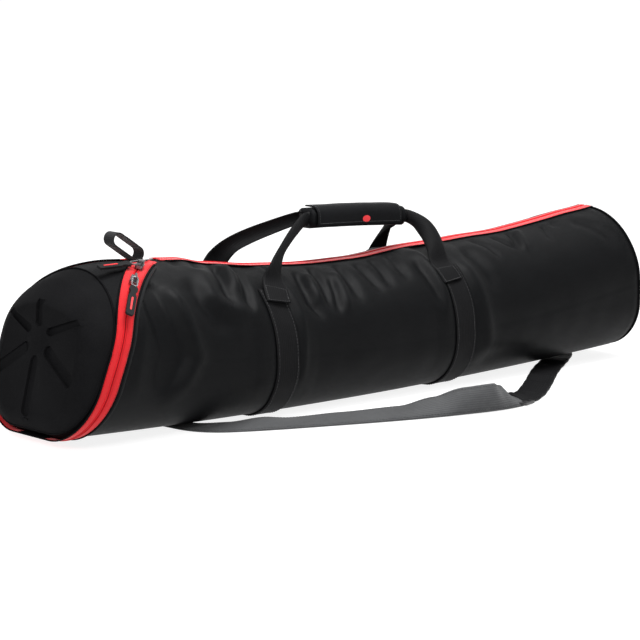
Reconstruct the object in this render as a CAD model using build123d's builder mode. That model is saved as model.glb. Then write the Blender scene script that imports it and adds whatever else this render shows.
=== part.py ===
from build123d import *
from math import cos, radians, sin, sqrt, tan
import os

os.makedirs("parts", exist_ok=True)

# Soft carry case for a telescope tube or a tripod: a padded tube with a hinged, moulded end cap.
# Millimetres. X runs from the end cap to the far end, Y to the far side, Z up from the ground.
# The origin is on the ground, on the centreline, under the middle of the front webbing band.

# Body
bag_radius = 110.0            # half width, and the radius of the rounded top
bottom_corner = 72.6          # radius between the flat underside and the sides
bottom_overhang = 0.6         # how far the lower section's sides stand outside the upper one
far_end_x = 698.0
top_low_z = 188.0             # lowest point of the sagging top line
top_low_x = 225.0
top_sag_radius = 2900.0       # radius of the top line seen from the side
underside_low_z = 0.91
underside_low_x = 165.0
underside_sag_radius = 11000.0
fabric = 1.6
foam = 6.0
lining = 0.8
seam_gap = 0.1

# Zip ring at the end cap: a leaning plane whose top sweeps back to a point on the top line
ring_foot_x = -325.0
ring_lean = 0.4               # travel in X for each millimetre of height
ring_sweep = 100.0            # how far the point at the top is swept back
ring_sweep_angle = 70.0       # the sweep starts this many degrees down from the top
lid_gap = 1.2

# Zip
tape_width = 11.8
tape_thickness = 1.2
tape_centre = 6.6
tape_lift = 0.8               # middle of the ring's tape above the fabric
teeth_width = 2.2
teeth_centre = 1.7
teeth_height = 2.35           # middle of the teeth above the fabric
teeth_thickness = 1.4
zip_slit = 6.0
long_zip_end_x = 687.0
teeth_last_angle = 156.0      # the ring's teeth stop here, short of the fabric hinge
piping_offset = 14.3

# End cap
cap_height = 225.0
cap_centre_z = 117.0
cap_rim_offset = 13.5
cap_depth = 46.0
cap_depth_slope = 0.143
cap_edge_radius = 22.0
cap_wall = 5.0
groove_width = 12.0
groove_depth = 2.6

# Webbing
webbing_width = 38.0
webbing_thickness = 2.4
front_band_x = 0.0
rear_band_x = 330.0
band_top_z = 165.0
handle_thickness = 2.4

# Grip on the carry handles
grip_start_x = 124.0
grip_end_x = 307.0
grip_z = 243.0               # middle of the grip
grip_width = 36.0
grip_height = 27.0
grip_wall = 4.0

upper_axis_z = top_low_z + top_sag_radius
lower_axis_z = underside_low_z + underside_sag_radius


# ---------------------------------------------------------------- shape of the bag

def section_plane(low_x, axis_z, turn):
    """Plane through a Y axis at (low_x, axis_z), turned from straight down towards +X."""
    t = radians(turn)
    origin = (low_x + axis_z * sin(t), 0, axis_z - axis_z * cos(t))
    return Plane(origin=origin, x_dir=(0, 1, 0), z_dir=(cos(t), 0, sin(t)))


def bag_volume(inset):
    """The closed volume of the bag, this far inside its outer face, longer than the bag."""
    upper_r = bag_radius - inset
    upper_z = top_low_z - bag_radius
    lower_w = bag_radius + bottom_overhang - inset
    corner = bottom_corner - inset
    floor = underside_low_z + inset
    upper_turn = 14.0
    lower_turn = 4.5
    with BuildPart() as volume:
        with BuildSketch(section_plane(top_low_x, upper_axis_z, -upper_turn)):
            with BuildLine():
                ThreePointArc((-upper_r, upper_z), (0, upper_z + upper_r), (upper_r, upper_z))
                Polyline((upper_r, upper_z), (upper_r, -90), (-upper_r, -90), (-upper_r, upper_z))
            make_face()
        revolve(axis=Axis((top_low_x, 0, upper_axis_z), (0, -1, 0)), revolution_arc=2 * upper_turn)
        with BuildSketch(section_plane(underside_low_x, lower_axis_z, -lower_turn)):
            with BuildLine():
                Polyline((lower_w, floor + corner), (lower_w, 380), (-lower_w, 380), (-lower_w, floor + corner))
                RadiusArc((-lower_w, floor + corner), (-lower_w + corner, floor), -corner)
                Line((-lower_w + corner, floor), (lower_w - corner, floor))
                RadiusArc((lower_w - corner, floor), (lower_w, floor + corner), -corner)
            make_face()
        lower_axis = Axis((underside_low_x, 0, lower_axis_z), (0, -1, 0))
        revolve(axis=lower_axis, revolution_arc=2 * lower_turn, mode=Mode.INTERSECT)
    return volume.part


def top_point(x, angle, out=0.0):
    """Point on the upper face at X, at an angle from the top; a negative angle is the near side."""
    drop = bag_radius - (bag_radius + out) * cos(radians(angle))
    reach = top_sag_radius + drop
    z = upper_axis_z - sqrt(reach**2 - (x - top_low_x) ** 2)
    return Vector(x, (bag_radius + out) * sin(radians(angle)), z)


def top_normal(x, angle):
    point = top_point(x, angle)
    towards_axis = Vector(top_low_x - x, 0, upper_axis_z - point.Z).normalized()
    return Vector(0, sin(radians(angle)), 0) + towards_axis * cos(radians(angle))


def underside_z(x, height=0.0):
    reach = underside_sag_radius - height
    return lower_axis_z - sqrt(reach**2 - (x - underside_low_x) ** 2)


def lower_point(x, share):
    """Point on the lower face at X: share 0 is where the rounded top ends, 1 the centreline."""
    width = bag_radius + bottom_overhang
    base = underside_z(x)
    slope = (x - underside_low_x) / underside_sag_radius
    side = top_point(x, 90).Z - base - bottom_corner
    bend = bottom_corner * radians(90)
    flat = width - bottom_corner
    run = share * (side + bend + flat)
    if run < side:
        return Vector(x, width, base + bottom_corner + side - run), Vector(0, 1, 0)
    if run < side + bend:
        t = (run - side) / bottom_corner
        y = flat + bottom_corner * cos(t)
        z = base + bottom_corner - bottom_corner * sin(t)
        return Vector(x, y, z), Vector(slope * sin(t), cos(t), -sin(t)).normalized()
    return Vector(x, flat - (run - side - bend), base), Vector(slope, 0, -1).normalized()


def ring_point(angle):
    """Point on the zip ring: 0 to 180 down the near side, 180 to 360 up the far side."""
    down = angle if angle <= 180 else 360 - angle
    side = -1 if angle <= 180 else 1
    sweep = ring_sweep * max(0.0, 1 - down / ring_sweep_angle) ** 2
    x = ring_foot_x
    for _ in range(8):
        if down <= 90:
            point = top_point(x, side * down)
            normal = top_normal(x, side * down)
        else:
            point, normal = lower_point(x, (down - 90) / 90)
            point = Vector(point.X, side * point.Y, point.Z)
            normal = Vector(normal.X, side * normal.Y, normal.Z)
        x = ring_foot_x + ring_lean * point.Z + sweep
    return Vector(x, point.Y, point.Z), normal


def mouth_cutter(shift_x, shift_z):
    """Everything on the end cap's side of the zip ring."""
    top = [ring_point(angle)[0] for angle in (0.01, 8, 16, 24, 32, 40, 50, 60, 70)]
    edge = [(p.X + shift_x, p.Z + shift_z) for p in top]
    foot = (ring_foot_x - 40 + shift_x, -100 + shift_z)
    with BuildPart() as cutter:
        with BuildSketch(Plane.XZ):
            with BuildLine():
                Polyline((edge[0][0], 400), *edge, foot, (-700, foot[1]), (-700, 400), close=True)
            make_face()
        extrude(amount=200, both=True)
    return cutter.part


def slab(x_from, x_to, y_half=300.0, z_from=-50.0, z_to=400.0):
    """A plain block between two stations along the bag."""
    with BuildPart() as block:
        with BuildSketch(Plane.XY.offset(z_from)):
            with Locations(((x_from + x_to) / 2, 0)):
                Rectangle(x_to - x_from, 2 * y_half)
        extrude(amount=z_to - z_from)
    return block.part


def add_ribbon(points, across, width, thickness):
    """Adds a thin strip to the part being built; width is one number or one for each point."""
    widths = width if isinstance(width, list) else [width] * len(points)
    sections = []
    for i, point in enumerate(points):
        along = (points[min(i + 1, len(points) - 1)] - points[max(i - 1, 0)]).normalized()
        side = (across[i] - along * across[i].dot(along)).normalized()
        with BuildSketch(Plane(origin=point, x_dir=side, z_dir=along)) as section:
            Rectangle(widths[i], thickness)
        sections.append(section.sketch)
    loft(sections=sections, ruled=True)


def add_ring_ribbon(first, last, steps, centre, width, height, thickness):
    """Adds a strip that follows the zip ring, off its line by centre and off the fabric by height."""
    angles = [first + (last - first) * i / steps for i in range(steps + 1)]
    line = [ring_point(a) for a in angles]
    points = []
    across = []
    for i, (point, normal) in enumerate(line):
        before = line[max(i - 1, 0)][0]
        after = line[min(i + 1, steps)][0]
        side = normal.cross(after - before).normalized()
        if side.X < 0:
            side = side * -1
        points.append(point + side * centre + normal * height)
        across.append(side)
    add_ribbon(points, across, width, thickness)


def write(builder, name):
    builder.part.label = name
    export_step(builder.part, f"parts/{name}.step")


# ---------------------------------------------------------------- the padded tube

outer_volume = bag_volume(0)
fabric_volume = bag_volume(fabric)
foam_volume = bag_volume(fabric + foam)
room_volume = bag_volume(fabric + foam + lining)
ring_side = mouth_cutter(0, 0)
zip_tip_x = ring_point(0.01)[0].X
tube_span = slab(-500, far_end_x)
slit = slab(zip_tip_x, long_zip_end_x, zip_slit / 2, 100)


def tube_layer(outer, inner):
    with BuildPart() as layer:
        add(outer)
        add(inner, mode=Mode.SUBTRACT)
        add(ring_side, mode=Mode.SUBTRACT)
        add(tube_span, mode=Mode.INTERSECT)
        add(slit, mode=Mode.SUBTRACT)
    return layer


write(tube_layer(outer_volume, fabric_volume), "body_outer_fabric")
write(tube_layer(fabric_volume, foam_volume), "body_foam_padding")
write(tube_layer(foam_volume, room_volume), "body_lining")


def end_disc(volume, x_from, x_to):
    with BuildPart() as disc:
        add(volume)
        add(slab(x_from, x_to), mode=Mode.INTERSECT)
    return disc


write(end_disc(outer_volume, far_end_x, far_end_x + fabric), "far_end_panel")
write(end_disc(room_volume, far_end_x - foam, far_end_x), "far_end_foam")
write(end_disc(room_volume, far_end_x - foam - lining, far_end_x - foam), "far_end_lining")

with BuildPart() as far_binding:
    add(bag_volume(-2.0))
    add(outer_volume, mode=Mode.SUBTRACT)
    add(slab(far_end_x - 2, far_end_x + fabric), mode=Mode.INTERSECT)
write(far_binding, "far_end_binding")

# ---------------------------------------------------------------- webbing bands

band_volume = bag_volume(-webbing_thickness)
for band_name, band_x in (("front_band", front_band_x), ("rear_band", rear_band_x)):
    with BuildPart() as band:
        add(band_volume)
        add(outer_volume, mode=Mode.SUBTRACT)
        half = webbing_width / 2
        add(slab(band_x - half, band_x + half, 300, 0, band_top_z), mode=Mode.INTERSECT)
    write(band, band_name)

# ---------------------------------------------------------------- long zip on the top line

tape_floor = bag_volume(-seam_gap)
tape_top = bag_volume(-seam_gap - tape_thickness)
teeth_top = bag_volume(-seam_gap - tape_thickness - teeth_thickness)
tape_start_x = zip_tip_x + 10
for side_name, side in (("near", -1), ("far", 1)):
    with BuildPart() as tape:
        add(tape_top)
        add(tape_floor, mode=Mode.SUBTRACT)
        with BuildSketch(Plane.XY.offset(100)):
            with Locations(((tape_start_x + long_zip_end_x + 8) / 2, side * tape_centre)):
                Rectangle(long_zip_end_x + 8 - tape_start_x, tape_width)
        extrude(amount=300, mode=Mode.INTERSECT)
    write(tape, f"long_zip_tape_{side_name}")

with BuildPart() as long_teeth:
    add(teeth_top)
    add(tape_top, mode=Mode.SUBTRACT)
    add(slab(zip_tip_x + 2, long_zip_end_x, 2.5, 100), mode=Mode.INTERSECT)
write(long_teeth, "long_zip_teeth")

# ---------------------------------------------------------------- zip ring, body side

with BuildPart() as ring_tape_body:
    add_ring_ribbon(7, 353, 86, tape_centre, tape_width, tape_lift, tape_thickness)
write(ring_tape_body, "ring_zip_tape_body")

with BuildPart() as ring_teeth_body:
    for first, last in ((5, teeth_last_angle), (360 - teeth_last_angle, 355)):
        add_ring_ribbon(first, last, 48, teeth_centre, teeth_width, teeth_height, teeth_thickness)
write(ring_teeth_body, "ring_zip_teeth_body")

with BuildPart() as ring_piping:
    add_ring_ribbon(16, 344, 80, piping_offset, 2.6, 1.3, 2.2)
write(ring_piping, "ring_piping")

# ---------------------------------------------------------------- end cap, the lid

lean = sqrt(1 + ring_lean**2)
cap_normal = Vector(-1 / lean, 0, ring_lean / lean)
cap_up = Vector(ring_lean / lean, 0, 1 / lean)
cap_centre = Vector(ring_foot_x + ring_lean * cap_centre_z, 0, cap_centre_z)
cap_plane = Plane(origin=cap_centre, x_dir=(0, -1, 0), z_dir=cap_normal)
face_normal = (cap_normal - cap_up * cap_depth_slope).normalized()
face_centre = cap_centre + cap_normal * cap_depth
face_plane = Plane(origin=face_centre, x_dir=(0, -1, 0), z_dir=face_normal)
hinge_point = ring_point(180)[0] - Vector(0, 0, tape_lift)


def cap_volume(inset, start):
    """The moulded cap's volume, this far inside its outer face, from its rim outwards."""
    half = bag_radius - 1.5 - inset
    corner = bottom_corner - inset
    top = cap_height / 2 - 1.5 - inset
    foot = -top
    with BuildPart() as volume:
        with BuildSketch(cap_plane.offset(start)):
            with BuildLine():
                ThreePointArc((-half, top - half), (0, top), (half, top - half))
                Line((half, top - half), (half, foot + corner))
                RadiusArc((half, foot + corner), (half - corner, foot), corner)
                Line((half - corner, foot), (-half + corner, foot))
                RadiusArc((-half + corner, foot), (-half, foot + corner), corner)
                Line((-half, foot + corner), (-half, top - half))
            make_face()
        extrude(amount=120)
        split(bisect_by=face_plane.offset(-inset), keep=Keep.BOTTOM)
        front = volume.faces().sort_by(Axis(cap_centre, face_normal))[-1]
        fillet(front.edges(), cap_edge_radius - inset)
    return volume.part


with BuildPart() as end_cap:
    add(cap_volume(0, cap_rim_offset))
    add(cap_volume(cap_wall, cap_rim_offset - 1), mode=Mode.SUBTRACT)
    with BuildSketch(face_plane.offset(-groove_depth)):
        with PolarLocations(66, 6, start_angle=30):
            SlotOverall(72, groove_width)
    extrude(amount=40, mode=Mode.SUBTRACT)
write(end_cap, "end_cap_shell")

with BuildPart() as cap_liner:
    add(cap_volume(cap_wall, cap_rim_offset + 2))
    add(cap_volume(cap_wall + lining, cap_rim_offset + 1), mode=Mode.SUBTRACT)
write(cap_liner, "end_cap_lining")

with BuildPart() as rim_side:
    with BuildSketch(cap_plane.offset(cap_rim_offset)):
        Rectangle(600, 600)
    extrude(amount=-500)

with BuildPart() as gusset:
    add(outer_volume)
    add(fabric_volume, mode=Mode.SUBTRACT)
    add(mouth_cutter(-lid_gap, lid_gap / 2), mode=Mode.INTERSECT)
    add(rim_side.part, mode=Mode.INTERSECT)
write(gusset, "end_cap_gusset")

with BuildPart() as ring_tape_lid:
    add_ring_ribbon(14, 346, 84, -tape_centre, tape_width, tape_lift, tape_thickness)
write(ring_tape_lid, "ring_zip_tape_lid")

with BuildPart() as ring_teeth_lid:
    for first, last in ((7, teeth_last_angle), (360 - teeth_last_angle, 353)):
        add_ring_ribbon(first, last, 48, -teeth_centre, teeth_width, teeth_height, teeth_thickness)
write(ring_teeth_lid, "ring_zip_teeth_lid")

with BuildPart() as hinge_fold:
    with BuildSketch(Plane.XZ.offset(-30)):
        with Locations((hinge_point.X, hinge_point.Z)):
            Circle(0.5)
    extrude(amount=60)
write(hinge_fold, "end_cap_hinge_fold")

# ---------------------------------------------------------------- pull loop on the end cap's point

loop_width = 20.0
loop_thickness = 1.8
loop_length = 56.0
loop_height = 19.0
loop_lean = -34
loop_foot_half_width = 6.0
loop_middle = Location((-183, 237.5, 0), (0, 0, 1), loop_lean)
with BuildPart() as pull_loop:
    with BuildSketch(Plane.XZ.offset(-loop_width / 2)):
        with Locations(loop_middle):
            SlotOverall(loop_length, loop_height)
            SlotOverall(loop_length - 2 * loop_thickness, loop_height - 2 * loop_thickness, mode=Mode.SUBTRACT)
    extrude(amount=loop_width)
    add(slab(-167, -157, loop_foot_half_width, 214.9, 219.9))
write(pull_loop, "pull_loop")

label_size = 16.0
with BuildPart() as loop_label:
    with BuildSketch(Plane.XZ.offset(-label_size / 2)):
        with Locations(loop_middle):
            with Locations((2, loop_height / 2 + 0.4)):
                Rectangle(label_size + 4, 0.8)
    extrude(amount=label_size)
write(loop_label, "pull_loop_label")

# ---------------------------------------------------------------- sliders and pullers

slider_length = 16.0
slider_width = 10.0
slider_low = 4.3
slider_high = 8.6
bail_height = 5.2
bail_width = 2.6
bail_length = 9.6
link_length = 18.0
link_width = 9.4
link_wire = 1.9
tab_length = 50.0
tab_width = 11.0
tab_waist_from_start = 12.0
tab_thickness = 3.2
pivot_height = slider_high + bail_height / 2 + 0.1


def slider_plane(angle):
    """Plane on the fabric under a slider: X along the zip downwards, Z away from the bag."""
    point, normal = ring_point(angle)
    step = 0.5 if angle < 180 else -0.5
    along = (ring_point(angle + step)[0] - ring_point(angle - step)[0])
    along = (along - normal * along.dot(normal)).normalized()
    return Plane(origin=point, x_dir=along, z_dir=normal)


def puller_plane(base, target):
    """Plane of a hanging puller: origin on its pivot, X towards the target point."""
    pivot = base.origin + base.z_dir * pivot_height
    hang = (target - pivot).normalized()
    across = hang.cross(base.z_dir).normalized()
    return Plane(origin=pivot, x_dir=hang, z_dir=across.cross(hang))


def make_puller(hang, name):
    with BuildPart() as link:
        with BuildSketch(hang.offset(-link_wire / 2)):
            with Locations((link_length / 2 - link_wire / 2, 0)):
                SlotOverall(link_length, link_width)
                SlotOverall(link_length - 2 * link_wire, link_width - 2 * link_wire, mode=Mode.SUBTRACT)
        extrude(amount=link_wire)
    write(link, f"{name}_link")
    tab_start = link_length - link_wire / 2 + 0.1
    with BuildPart() as tab:
        with BuildSketch(hang.offset(-tab_thickness / 2)):
            with Locations((tab_start + tab_length / 2, 0)):
                RectangleRounded(tab_length, tab_width, 3.2)
            for side in (-1, 1):
                with Locations((tab_start + tab_waist_from_start, side * (tab_width / 2 + 5.2))):
                    Circle(7, mode=Mode.SUBTRACT)
        extrude(amount=tab_thickness)
    write(tab, f"{name}_tab")
    with BuildPart() as inlay:
        with BuildSketch(hang.offset(tab_thickness / 2)):
            with Locations((tab_start + tab_length * 0.62, 0)):
                SlotOverall(22, 2.4)
        extrude(amount=0.4)
    write(inlay, f"{name}_inlay")


lower_base = slider_plane(37)
lower_target = ring_point(68)[0] + ring_point(68)[1] * 15 - Vector(6, 0, 0)
upper_base = slider_plane(20)
upper_target = Vector(-262, -41, 221.5)
for base, target, name in (
    (lower_base, lower_target, "lower_puller"),
    (upper_base, upper_target, "upper_puller"),
):
    hang = puller_plane(base, target)
    slider_name = name.replace("puller", "slider")
    arch_plane = Plane(origin=base.origin + base.z_dir * slider_high, x_dir=hang.x_dir, z_dir=base.z_dir)
    upright = Plane(origin=arch_plane.origin, x_dir=arch_plane.x_dir, z_dir=arch_plane.y_dir)
    with BuildPart() as slider:
        with BuildSketch(base.offset(slider_low)):
            RectangleRounded(slider_length, slider_width, 3)
        extrude(amount=slider_high - slider_low)
        with BuildSketch(upright.offset(-bail_width / 2)):
            with Locations((0, -bail_height / 2)):
                Rectangle(bail_length, bail_height + 1.6)
                Rectangle(bail_length - 4, 3.2, mode=Mode.SUBTRACT)
        extrude(amount=bail_width)
    write(slider, slider_name)
    make_puller(hang, name)

# ---------------------------------------------------------------- carry handles

grip_tilt = 0.055             # the grip's front end stands higher than its rear end
grip_mid = Vector((grip_start_x + grip_end_x) / 2, 0, grip_z)
grip_along = Vector(1, 0, -grip_tilt).normalized()
grip_plane = Plane(origin=grip_mid, x_dir=(0, 1, 0), z_dir=grip_along)
grip_length = grip_end_x - grip_start_x
grip_strap_height = 18.4
handle_strap_y = 8.6

front_leg = [top_point(2, -52, 5.0), top_point(6, -44, 5.1), Vector(14, -66, 182), Vector(24, -59, 199),
             Vector(38, -50, 214), Vector(60, -38, 226), Vector(90, -22, 238), Vector(119, -8.6, 247.6)]
front_across = [Vector(1, 0, 0), Vector(1, 0, 0), Vector(1, 0.1, -0.1), Vector(1, 0.5, -0.3),
                Vector(0.7, 0.7, -0.6), Vector(0.3, 0.5, -1), Vector(0.1, 0.2, -1), Vector(0, 0, -1)]
front_width = [38.0, 38.0, 37.0, 30.0, 24.0, 22.0, 20.0, 18.4]
rear_leg = [top_point(324, -52, 4.6), top_point(322, -44, 4.8), Vector(321, -65, 177), Vector(322, -57, 193),
            Vector(323, -47, 208), Vector(322, -35, 221), Vector(318, -22, 231), Vector(311, -8.6, 237.5)]
rear_across = [Vector(1, 0, 0), Vector(1, 0, 0), Vector(1, 0, 0), Vector(1, -0.1, 0),
               Vector(0.9, -0.4, 0), Vector(0.7, -0.8, 0), Vector(0.3, -0.6, 0.6), Vector(0, 0, 1)]
rear_width = [38.0, 38.0, 37.0, 32.0, 28.0, 25.0, 21.0, 18.4]

for side_name, side in (("near", 1), ("far", -1)):
    for end_name, line, across, width in (
        ("front", front_leg, front_across, front_width),
        ("rear", rear_leg, rear_across, rear_width),
    ):
        with BuildPart() as leg:
            leg_points = [Vector(p.X, side * p.Y, p.Z) for p in line]
            leg_across = [Vector(a.X, side * a.Y, a.Z) for a in across]
            add_ribbon(leg_points, leg_across, width, handle_thickness)
        write(leg, f"handle_leg_{end_name}_{side_name}")
    with BuildPart() as strap:
        with BuildSketch(grip_plane.offset(-grip_length / 2)):
            with Locations((-side * handle_strap_y, 0)):
                Rectangle(handle_thickness, grip_strap_height)
        extrude(amount=grip_length)
    write(strap, f"handle_strap_{side_name}")

with BuildPart() as grip_wrap:
    with BuildSketch(grip_plane.offset(-grip_length / 2 + 3)):
        RectangleRounded(grip_width, grip_height, 11)
        RectangleRounded(grip_width - 2 * grip_wall, grip_height - 2 * 2.5, 8, mode=Mode.SUBTRACT)
    extrude(amount=grip_length - 6)
write(grip_wrap, "grip_wrap")

with BuildPart() as grip_core:
    with BuildSketch(grip_plane.offset(-grip_length / 2 + 6)):
        RectangleRounded(14, 19, 4)
    extrude(amount=grip_length - 12)
write(grip_core, "grip_core")

flap_gap = 0.4
flap_thickness = 2.0
flap_from = 4.0
flap_length = 164.0
with BuildPart() as grip_flap:
    with BuildSketch(grip_plane.offset(-grip_length / 2 + flap_from)):
        outer_gap = flap_gap + flap_thickness
        RectangleRounded(grip_width + 2 * outer_gap, grip_height + 2 * outer_gap, 11 + outer_gap)
        RectangleRounded(grip_width + 2 * flap_gap, grip_height + 2 * flap_gap, 11 + flap_gap,
                         mode=Mode.SUBTRACT)
        with Locations((-8, 14)):
            Rectangle(30, 40, mode=Mode.INTERSECT)
    extrude(amount=flap_length)
write(grip_flap, "grip_flap")

button_x = 222.0
flap_face = grip_width / 2 + flap_gap + flap_thickness
with BuildPart() as button:
    with BuildSketch(Plane.XZ.offset(flap_face)):
        with Locations((button_x, grip_mid.Z - (button_x - grip_mid.X) * grip_tilt - 1)):
            Ellipse(7, 4.6)
    extrude(amount=1.6)
write(button, "grip_button")

# ---------------------------------------------------------------- shoulder strap, lying on the ground

strap_width = 38.0
strap_thickness = 2.2
strap_z = 0.4 + strap_thickness / 2
strap_route = [(-128, 40), (-127, -20), (-122, -84), (-66, -118), (10, -150), (98, -186), (190, -218),
               (270, -238), (340, -220), (420, -164), (512, -92), (596, -38), (646, -2), (648, 40)]


def corner_radii(route):
    """The largest arcs that the runs on both sides of each corner allow."""
    radii = []
    for before, here, after in zip(route, route[1:], route[2:]):
        first = Vector(*here) - Vector(*before)
        second = Vector(*after) - Vector(*here)
        turn = first.get_angle(second)
        radii.append(0.45 * min(first.length, second.length) / tan(radians(turn / 2)))
    return radii


strap_radii = corner_radii(strap_route)
with BuildPart() as shoulder_strap:
    with BuildLine(Plane.XY.offset(strap_z)) as strap_path:
        FilletPolyline(*strap_route, radius=strap_radii)
    with BuildSketch(Plane(origin=strap_path.line @ 0, x_dir=(0, 0, 1), z_dir=strap_path.line % 0)):
        Rectangle(strap_thickness, strap_width)
    sweep()
write(shoulder_strap, "shoulder_strap")

for end_name, x, lift in (("front", -128.0, 3.0), ("rear", 648.0, 10.0)):
    riser_line = [(41.3, strap_z), (47, strap_z), (58, 3.6 + lift / 2), (76, 9.5 + lift),
                  (90, 20 + lift), (100, 32 + lift), (107, 46 + lift)]
    with BuildPart() as riser:
        points = [Vector(x, y, z) for y, z in riser_line]
        add_ribbon(points, [Vector(1, 0, 0)] * len(points), strap_width, strap_thickness)
    write(riser, f"strap_end_{end_name}")
    with BuildPart() as anchor:
        add(bag_volume(-4.0))
        add(outer_volume, mode=Mode.SUBTRACT)
        half = strap_width / 2 + 3
        add(slab(x - half, x + half, 300, 52 + lift, 92 + lift), mode=Mode.INTERSECT)
        add(slab(-500, 900, 300).moved(Location((0, 300, 0))), mode=Mode.INTERSECT)
    write(anchor, f"strap_anchor_{end_name}")

adjuster_plane = Plane(origin=(304, -231.5, strap_z + strap_thickness / 2 + 0.2), x_dir=(0.97, 0.24, 0),
                       z_dir=(0, 0, 1))
with BuildPart() as adjuster:
    with BuildSketch(adjuster_plane):
        RectangleRounded(26, 46, 3)
        with Locations((-6.2, 0), (6.2, 0)):
            RectangleRounded(7.4, 39, 1.5, mode=Mode.SUBTRACT)
    extrude(amount=3.4)
write(adjuster, "strap_adjuster")
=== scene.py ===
from math import cos, hypot, pi, radians, sin, sqrt

import bmesh
import bpy
import numpy as np
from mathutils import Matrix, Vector, noise


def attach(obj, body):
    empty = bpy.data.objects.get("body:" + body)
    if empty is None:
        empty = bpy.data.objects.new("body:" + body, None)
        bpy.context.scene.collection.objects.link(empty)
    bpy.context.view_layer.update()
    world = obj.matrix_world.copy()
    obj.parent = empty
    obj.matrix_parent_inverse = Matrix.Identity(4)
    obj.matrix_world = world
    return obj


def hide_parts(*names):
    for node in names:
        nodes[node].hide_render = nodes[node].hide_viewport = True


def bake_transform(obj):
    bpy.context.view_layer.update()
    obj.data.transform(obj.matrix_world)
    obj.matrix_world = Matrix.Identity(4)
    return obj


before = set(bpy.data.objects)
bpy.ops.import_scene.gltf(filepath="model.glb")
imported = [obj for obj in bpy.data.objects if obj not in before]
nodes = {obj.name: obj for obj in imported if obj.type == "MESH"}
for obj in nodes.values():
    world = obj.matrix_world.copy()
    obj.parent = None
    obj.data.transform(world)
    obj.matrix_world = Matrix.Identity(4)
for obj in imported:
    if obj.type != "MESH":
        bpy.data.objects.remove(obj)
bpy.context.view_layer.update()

# Lengths below are millimetres, as in the CAD source, and become metres when a mesh is made.
MM = 0.001


def add_object(name, data):
    obj = bpy.data.objects.new(name, data)
    bpy.context.scene.collection.objects.link(obj)
    return obj


def place(piece, body, slot, *replaced, fill=None):
    """Attaches a piece to its body and hides the CAD nodes that it stands for; the slot and fill are not used.
    """
    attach(piece, body)
    if replaced:
        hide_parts(*replaced)


# ---- the camera

camera = add_object("camera", bpy.data.cameras.new("camera"))
camera.location = (-2.1204, -2.5272, 0.6648)
aim = Vector((0.155, 0.0, 0.1043)) - camera.location
camera.rotation_euler = aim.to_track_quat("-Z", "Y").to_euler()
camera.data.sensor_width = 36
camera.data.lens = 140.6
bpy.context.scene.camera = camera

# ---- the bag's dimensions

bag_radius = 110.0
bottom_corner = 72.6
bottom_overhang = 0.6
far_end_x = 698.0
top_low_z = 188.0
top_low_x = 225.0
top_sag_radius = 2900.0
underside_low_z = 0.91
underside_low_x = 165.0
underside_sag_radius = 11000.0
upper_axis_z = top_low_z + top_sag_radius
lower_axis_z = underside_low_z + underside_sag_radius
ring_foot_x = -325.0
ring_lean = 0.4
ring_sweep = 100.0
ring_sweep_angle = 70.0
tape_width = 11.8
tape_centre = 6.6
teeth_centre = 1.7
long_zip_end_x = 695.0
cap_centre = Vector((-278.2, 0.0, 117.0))
cap_lean = sqrt(1 + ring_lean**2)
cap_normal = Vector((-1 / cap_lean, 0, ring_lean / cap_lean))
cap_up = Vector((ring_lean / cap_lean, 0, 1 / cap_lean))
cap_half = 108.5
cap_rim_offset = 13.5
cap_rim_drop = 11.0
cap_half_height = 111.0
webbing_width = 38.0
band_top_z = 165.0
front_band_x = 0.0
rear_band_x = 330.0
stitch_inset = 15.5
stitch_sink = 0.12


def smooth(t):
    t = min(1.0, max(0.0, t))
    return t * t * (3 - 2 * t)


def between(x, table):
    """Smooth interpolation in a short table of (x, value)."""
    if x <= table[0][0]:
        return table[0][1]
    for (x0, v0), (x1, v1) in zip(table, table[1:]):
        if x <= x1:
            return v0 + (v1 - v0) * smooth((x - x0) / (x1 - x0))
    return table[-1][1]


def top_point(x, angle, out=0.0):
    drop = bag_radius - (bag_radius + out) * cos(radians(angle))
    z = upper_axis_z - sqrt((top_sag_radius + drop) ** 2 - (x - top_low_x) ** 2)
    return Vector((x, (bag_radius + out) * sin(radians(angle)), z))


def top_normal(x, angle):
    z = top_point(x, angle).z
    towards_axis = Vector((top_low_x - x, 0, upper_axis_z - z)).normalized()
    return Vector((0, sin(radians(angle)), 0)) + towards_axis * cos(radians(angle))


def underside_z(x):
    return lower_axis_z - sqrt(underside_sag_radius**2 - (x - underside_low_x) ** 2)


def lower_point(x, share):
    width = bag_radius + bottom_overhang
    base = underside_z(x)
    slope = (x - underside_low_x) / underside_sag_radius
    side = top_point(x, 90).z - base - bottom_corner
    bend = bottom_corner * pi / 2
    flat = width - bottom_corner
    run = share * (side + bend + flat)
    if run < side:
        return Vector((x, width, base + bottom_corner + side - run)), Vector((0, 1, 0))
    if run < side + bend:
        t = (run - side) / bottom_corner
        point = Vector((x, flat + bottom_corner * cos(t), base + bottom_corner - bottom_corner * sin(t)))
        return point, Vector((slope * sin(t), cos(t), -sin(t))).normalized()
    return Vector((x, flat - (run - side - bend), base)), Vector((slope, 0, -1)).normalized()


def down_and_side(angle):
    """A ring angle as degrees down from the top, with -1 for the near side and 1 for the far one."""
    return (angle, -1) if angle <= 180 else (360 - angle, 1)


def bag_point(x, angle):
    """Point and normal on the plain bag at X; 0 to 180 goes down the near side, 180 to 360 up the far one."""
    down, side = down_and_side(angle)
    if down <= 90:
        return top_point(x, side * down), top_normal(x, side * down)
    point, normal = lower_point(x, (down - 90) / 90)
    return Vector((x, side * point.y, point.z)), Vector((normal.x, side * normal.y, normal.z))


def ring_x(angle):
    down, _ = down_and_side(angle)
    sweep = ring_sweep * max(0.0, 1 - down / ring_sweep_angle) ** 2
    x = ring_foot_x
    for _ in range(8):
        x = ring_foot_x + ring_lean * bag_point(x, angle)[0].z + sweep
    return x


def ring_point(angle):
    return bag_point(ring_x(angle), angle)


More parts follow.
